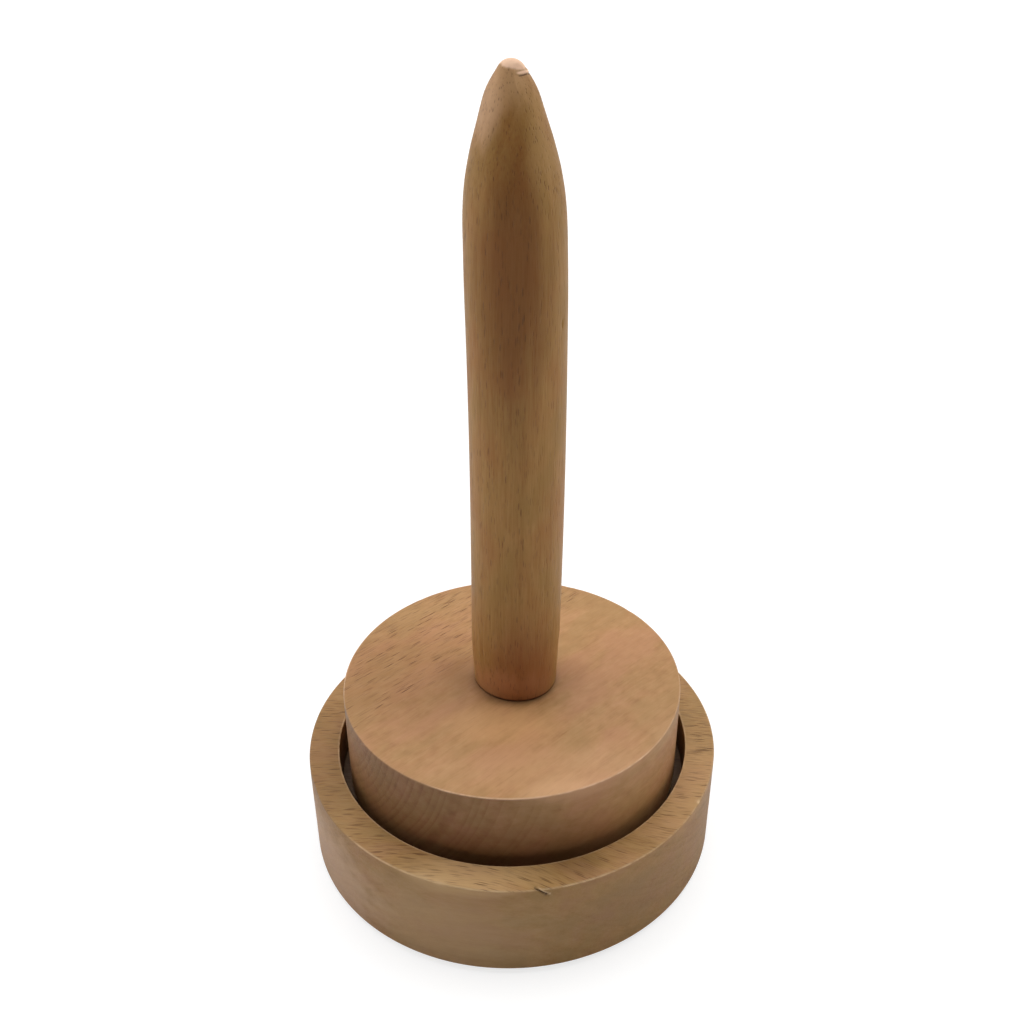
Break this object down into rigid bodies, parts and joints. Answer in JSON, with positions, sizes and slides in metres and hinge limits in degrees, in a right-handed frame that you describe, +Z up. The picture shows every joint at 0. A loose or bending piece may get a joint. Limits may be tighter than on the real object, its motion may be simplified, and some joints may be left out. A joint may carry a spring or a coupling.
{
  "type": "yarn ball holder",
  "caption": "Revolving yarn holder: a round turntable with an upright tapered spindle turns on a ball bearing inside a shallow round wooden base.",
  "frame": {"origin": "on the spindle's axis, at the height of the table that the rubber pads stand on", "axes": "+Z up along the spindle, +X to the right and +Y away from the viewer of the picture"},
  "size_m": [0.12, 0.12, 0.2264],
  "materials": {
    "bowl_beech": "satin, turned side grain",
    "turntable_beech": "satin, turned side grain",
    "spindle_beech": "satin, sanded long grain",
    "pad_rubber": "matte",
    "bearing_steel": "ground",
    "ball_steel": "polished",
    "cage_nylon": "moulded",
    "shield_steel": "pressed sheet",
    "plated_steel": "bright zinc plated",
    "insert_brass": "machined"
  },
  "bodies": {
    "base": {"bowl": "bowl_beech", "rubber_pad_1": "pad_rubber", "rubber_pad_2": "pad_rubber", "rubber_pad_3": "pad_rubber", "rubber_pad_4": "pad_rubber", "bearing_outer_ring": "bearing_steel", "bearing_shield_lower": "shield_steel", "bearing_shield_upper": "shield_steel"},
    "ball_set": {"bearing_balls": "ball_steel", "bearing_cage": "cage_nylon"},
    "turning_stack": {"turntable": "turntable_beech", "spindle": "spindle_beech", "threaded_insert": "insert_brass", "socket_head_bolt": "plated_steel", "lower_washer": "plated_steel", "bearing_inner_ring": "bearing_steel", "spacer_sleeve": "plated_steel", "wide_washer": "plated_steel", "nut_washer": "plated_steel", "hexagon_nut": "plated_steel"}
  },
  "joints": [
    {"name": "turntable_spin", "type": "hinge", "parent": "base", "child": "turning_stack", "pos_m": [0, 0, 0.0173], "axis": [0, 0, 1], "continuous": true},
    {"name": "ball_set_spin", "type": "hinge", "parent": "base", "child": "ball_set", "pos_m": [0, 0, 0.0173], "axis": [0, 0, 1], "continuous": true}
  ],
  "couplings": [
    {"joint": "ball_set_spin", "follows": "turntable_spin", "ratio": 0.3677}
  ]
}
